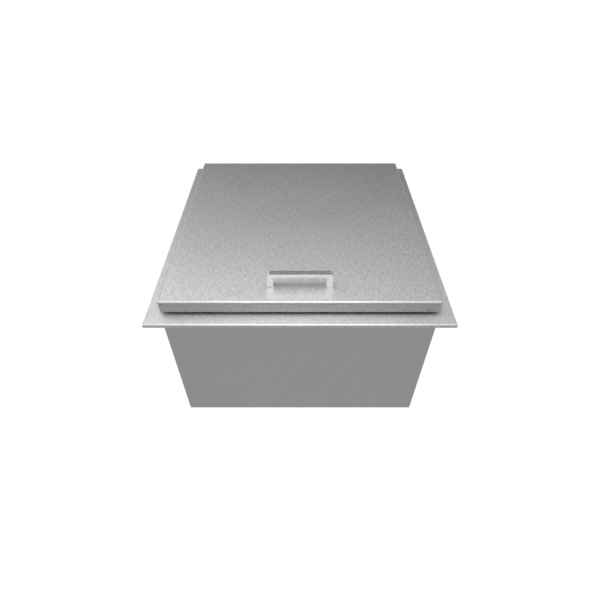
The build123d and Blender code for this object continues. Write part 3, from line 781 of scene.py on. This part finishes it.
class COOLER_OT_tub_bead(bpy.types.Operator):
    """Lays the bead of sealant round the foot of the raised edge of the tub"""

    bl_idname = "cooler.tub_bead"
    bl_label = "Sealant bead"

    def execute(self, context):
        rim_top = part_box("rim_frame")[1].z
        tub_low, tub_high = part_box("inner_liner")
        reach = 2.4 * MM
        rise = 0.85 * reach
        count = 6
        points = [
            (reach * (1 - math.cos(turn)), rise * math.sin(turn))
            for turn in (math.pi / 2 * step / count for step in range(count + 1))
        ]
        profile = [(x1 - x0, z1 - z0) for (x0, z0), (x1, z1) in zip(points, points[1:])]
        bead = moulded_ring(
            "tub_bead", tub_high.x - tub_low.x + 2 * reach, tub_high.y - tub_low.y + 2 * reach,
            COAMING_CORNER + reach, rim_top + 0.01 * MM, [*profile, (0, -rise)],
        )
        sealant = moulded_rubber("Sealant", context.scene.cooler_soft.sealant)
        finish_piece(bead, "tub", "gasket_rubber", sealant)
        return {"FINISHED"}


class COOLER_OT_counter_seal(bpy.types.Operator):
    """Lays four lengths of foam tape under the rim, with butt joints at the corners"""

    bl_idname = "cooler.counter_seal"
    bl_label = "Counter seal"

    def execute(self, context):
        low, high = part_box("counter_gasket")
        tape = COUNTER_TAPE_WIDTH
        height = high.z - low.z
        middle = (high.z + low.z) / 2
        gap = 0.3 * MM
        edge = 0.9 * MM
        lengths = []
        for side in (-1, 1):
            for name, place, size in (
                ("across", (0, side * (high.y - tape / 2), middle), (2 * high.x, tape, height)),
                (
                    "along", (side * (high.x - tape / 2), 0, middle),
                    (tape, 2 * (high.y - tape - gap), height),
                ),
            ):
                strip = add_piece(
                    f"tape_{name}_{side}", bpy.ops.mesh.primitive_cube_add, sides=size,
                    size=1.0, location=place,
                )
                apply_bevel(strip, edge)
                close_and_smooth(strip)
                lengths.append(strip)
        seal = join("counter_seal", lengths)
        foam = cell_foam("Tape foam", context.scene.cooler_soft.tape, 0.7 * MM, 0.5)
        finish_piece(seal, "tub", "seal_foam", foam, "counter_gasket")
        return {"FINISHED"}


class COOLER_OT_drain_seals(bpy.types.Operator):
    """Turns the two rubber rings that the drain is clamped on, squeezed out at their edges"""

    bl_idname = "cooler.drain_seals"
    bl_label = "Drain seals"

    def execute(self, context):
        rubber = moulded_rubber("Seal rubber", context.scene.cooler_soft.rubber)
        rings = {"drain_flange_seal": "drain_seal", "drain_nut_seal": "drain_washer"}
        count = 8
        for name, node in rings.items():
            low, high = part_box(node)
            bulge = BULGE_SHARE * (high.z - low.z)
            middle = (low.z + high.z) / 2
            half = (high.z - low.z) / 2
            edge = [
                (high.x - bulge + bulge * math.cos(turn), middle + half * math.sin(turn))
                for turn in (math.pi * step / count - math.pi / 2 for step in range(count + 1))
            ]
            outline = [*edge, (DRAIN_HOLE, high.z), (DRAIN_HOLE, low.z), edge[0]]
            ring = turned(name, outline)
            finish_piece(ring, "tub", "gasket_rubber", rubber, node)
        return {"FINISHED"}


class COOLER_OT_stopper(bpy.types.Operator):
    """Turns the moulded rubber stopper: ribbed plug, disc with a raised edge, neck and knob"""

    bl_idname = "cooler.stopper"
    bl_label = "Drain stopper"

    def execute(self, context):
        low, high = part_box("drain_stopper")
        base, disc = low.z, low.z + STOPPER_PLUG
        outline = [
            (0.0, base + 1.2 * MM), (9.0 * MM, base + 1.2 * MM), (10.2 * MM, base),
            (13.6 * MM, base), (13.9 * MM, base + 2.6 * MM), (13.2 * MM, base + 3.2 * MM),
            (14.2 * MM, base + 5.0 * MM), (13.5 * MM, base + 5.7 * MM),
            (14.6 * MM, base + 8.0 * MM), (14.1 * MM, disc), (high.x, disc),
            (high.x, disc + 3.0 * MM), (17.6 * MM, disc + 3.0 * MM),
            (16.4 * MM, disc + 2.1 * MM), (8.6 * MM, disc + 2.1 * MM),
            (4.7 * MM, disc + 3.6 * MM), (4.5 * MM, disc + 7.4 * MM),
            (8.0 * MM, disc + 9.4 * MM), (8.0 * MM, high.z - 2.0 * MM),
            (5.6 * MM, high.z), (2.2 * MM, high.z), (0.0, high.z - 0.5 * MM),
        ]
        stopper = turned("stopper", outline)
        apply_bevel(stopper, 0.7 * MM, angle=25.0)
        close_and_smooth(stopper)
        rubber = moulded_rubber("Stopper rubber", context.scene.cooler_soft.stopper)
        finish_piece(stopper, "stopper", "stopper_rubber", rubber, "drain_stopper")
        return {"FINISHED"}


class COOLER_OT_insulation(bpy.types.Operator):
    """Finishes the slabs of foam in the walls, the base and the lid"""

    bl_idname = "cooler.insulation"
    bl_label = "Insulation"

    def execute(self, context):
        foam = cell_foam("Insulation foam", context.scene.cooler_soft.foam, 1.6 * MM, 0.35)
        for side in ("front", "rear", "left", "right", "base"):
            finish_node(f"insulation_{side}", foam)
        finish_node("lid_insulation", foam)
        return {"FINISHED"}


def floor_material():
    """An even pale floor that gives no light, and is clear when it is seen from below."""
    material = bpy.data.materials.new("Studio floor")
    material.use_nodes = True
    material.cycles.emission_sampling = "NONE"
    tree = material.node_tree
    tree.nodes.clear()
    pale = add_node(tree, "ShaderNodeEmission", inputs={"Strength": 1.0})
    clear = tree.nodes.new("ShaderNodeBsdfTransparent")
    below = tree.nodes.new("ShaderNodeNewGeometry")
    both = tree.nodes.new("ShaderNodeMixShader")
    end = tree.nodes.new("ShaderNodeOutputMaterial")
    tree.links.new(below.outputs["Backfacing"], both.inputs["Fac"])
    tree.links.new(pale.outputs[0], both.inputs[1])
    tree.links.new(clear.outputs[0], both.inputs[2])
    tree.links.new(both.outputs[0], end.inputs["Surface"])
    return material


SOFTBOXES = (
    # name, place in metres, side in metres, watts
    ("Overhead", (0.0, -0.3, 1.0), 0.6, 4.35),
    ("Overhead near", (0.0, -0.25, 0.55), 0.35, 0.85),
    ("Near left", (-0.3, 0.0, 0.55), 0.35, 0.5),
    ("Near right", (0.3, 0.0, 0.55), 0.35, 0.23),
    ("Front", (0.0, -1.2, 0.9), 0.6, 1.55),
    ("Back", (0.0, 0.3, 1.0), 0.6, 0.49),
    ("Rear left", (-1.0, 0.9, 0.9), 0.6, 1.32),
    ("Left", (-1.2, 0.3, 0.8), 0.6, 2.45),
    ("Right", (1.2, 0.3, 0.8), 0.6, 1.95),
)


def softbox(name, place, side, power):
    """A square softbox that faces the middle of the rim and isn't itself seen."""
    data = bpy.data.lights.new(name, "AREA")
    data.size = side
    data.energy = power
    light = bpy.data.objects.new(name, data)
    light.location = place
    light.rotation_euler = (-light.location).to_track_quat("-Z", "Y").to_euler()
    light.visible_camera = False
    bpy.context.scene.collection.objects.link(light)


def studio_walls(tree, studio):
    """Even light from the walls, stronger from below than from above and weaker at both sides.

    What the camera itself sees behind the object is plain white."""
    place = tree.nodes.new("ShaderNodeTexCoord")
    parts = tree.nodes.new("ShaderNodeSeparateXYZ")
    tree.links.new(place.outputs["Generated"], parts.inputs[0])
    blend = add_node(
        tree, "ShaderNodeMapRange",
        inputs={"From Min": -0.4, "From Max": 0.4, "To Min": studio.ground, "To Max": studio.sky},
    )
    tree.links.new(parts.outputs["Z"], blend.inputs["Value"])
    beside = add_node(
        tree, "ShaderNodeMapRange",
        inputs={"From Min": 0.6, "From Max": 0.95, "To Min": 1.0, "To Max": studio.side_walls},
    )
    tree.links.new(maths(tree, "ABSOLUTE", parts.outputs["X"]), beside.inputs["Value"])
    walls = maths(tree, "MULTIPLY", blend.outputs[0], beside.outputs[0])
    path = tree.nodes.new("ShaderNodeLightPath")
    strength = choose(tree, path.outputs["Is Camera Ray"], walls, 1.0)
    background = tree.nodes["Background"]
    background.inputs["Color"].default_value = (1, 1, 1, 1)
    tree.links.new(strength, background.inputs["Strength"])


FLOOR_SIZE = 24.0


class COOLER_OT_stage(bpy.types.Operator):
    """Makes the floor, the lights and the camera"""

    bl_idname = "cooler.stage"
    bl_label = "Stage"

    def execute(self, context):
        studio = context.scene.cooler_studio
        scene = context.scene
        scene.view_settings.view_transform = "Standard"
        bpy.ops.object.select_all(action="DESELECT")
        floor_level = CAD_BOX[0].z - studio.floor_gap
        bpy.ops.mesh.primitive_plane_add(size=FLOOR_SIZE, location=(0, 0, floor_level))
        floor = context.object
        floor.name = "studio_floor"
        floor.data.materials.append(floor_material())
        floor.visible_glossy = False
        floor.visible_diffuse = False
        floor.visible_shadow = False
        world = bpy.data.worlds.new("Studio")
        scene.world = world
        world.use_nodes = True
        studio_walls(world.node_tree, studio)
        for light in SOFTBOXES:
            softbox(*light)
        camera_data = bpy.data.cameras.new("Camera")
        camera_data.lens = studio.lens
        camera = bpy.data.objects.new("Camera", camera_data)
        camera.location = (0, -studio.camera_back, studio.camera_height)
        camera.rotation_euler = (math.pi / 2 - studio.camera_tilt, 0, 0)
        scene.collection.objects.link(camera)
        scene.camera = camera
        return {"FINISHED"}


class COOLER_PT_panel(bpy.types.Panel):
    """Buttons that finish the sheets, make the soft pieces and set up the stage"""

    bl_label = "Drop-in cooler"
    bl_space_type = "VIEW_3D"
    bl_region_type = "UI"
    bl_category = "Cooler"

    def draw(self, context):
        for operator in OPERATORS:
            self.layout.operator(operator.bl_idname)


SETTINGS = {
    "cooler_steel": CoolerSteel,
    "cooler_soft": CoolerSoft,
    "cooler_studio": CoolerStudio,
}
OPERATORS = (
    COOLER_OT_tub_sheets,
    COOLER_OT_lid_sheets,
    COOLER_OT_fittings,
    COOLER_OT_lid_seal,
    COOLER_OT_tub_bead,
    COOLER_OT_counter_seal,
    COOLER_OT_drain_seals,
    COOLER_OT_stopper,
    COOLER_OT_insulation,
    COOLER_OT_stage,
)
CLASSES = (*SETTINGS.values(), *OPERATORS, COOLER_PT_panel)


def register():
    for cls in CLASSES:
        bpy.utils.register_class(cls)
    for name, group in SETTINGS.items():
        setattr(bpy.types.Scene, name, PointerProperty(type=group))


def unregister():
    for name in SETTINGS:
        delattr(bpy.types.Scene, name)
    for cls in reversed(CLASSES):
        bpy.utils.unregister_class(cls)


def main():
    register()
    bpy.ops.cooler.tub_sheets()
    bpy.ops.cooler.lid_sheets()
    bpy.ops.cooler.fittings()
    bpy.ops.cooler.lid_seal()
    bpy.ops.cooler.tub_bead()
    bpy.ops.cooler.counter_seal()
    bpy.ops.cooler.drain_seals()
    bpy.ops.cooler.stopper()
    bpy.ops.cooler.insulation()
    bpy.ops.cooler.stage()


if __name__ == "__main__":
    main()
